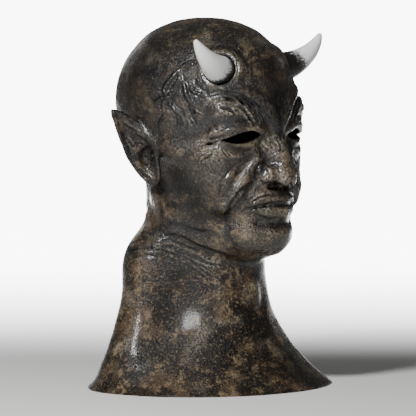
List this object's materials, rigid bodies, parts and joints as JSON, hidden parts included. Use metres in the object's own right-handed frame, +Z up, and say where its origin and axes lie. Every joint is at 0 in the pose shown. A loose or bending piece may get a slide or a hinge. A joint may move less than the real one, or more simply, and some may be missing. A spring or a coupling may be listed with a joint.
{
  "type": "devil mask",
  "caption": "Full-head devil mask of hollow latex with a neck bib, open eye slits, pointed ears and short upturned horns.",
  "frame": {"origin": "centre of the bib's cut rim, on the surface that the mask stands on", "axes": "+Z up from the rim to the crown; the face looks along -Y; +X is the mask's own left"},
  "size_m": [0.2669, 0.226, 0.3676],
  "materials": {
    "painted_latex": "semi-gloss cast latex, near black, sponged in brown and tan, with fine leathery wrinkles",
    "horn_paint": "satin off-white casting, airbrushed black and speckled at the root"
  },
  "bodies": {
    "root": {"skin": "painted_latex", "horn_left": "horn_paint", "horn_right": "horn_paint"}
  },
  "joints": []
}
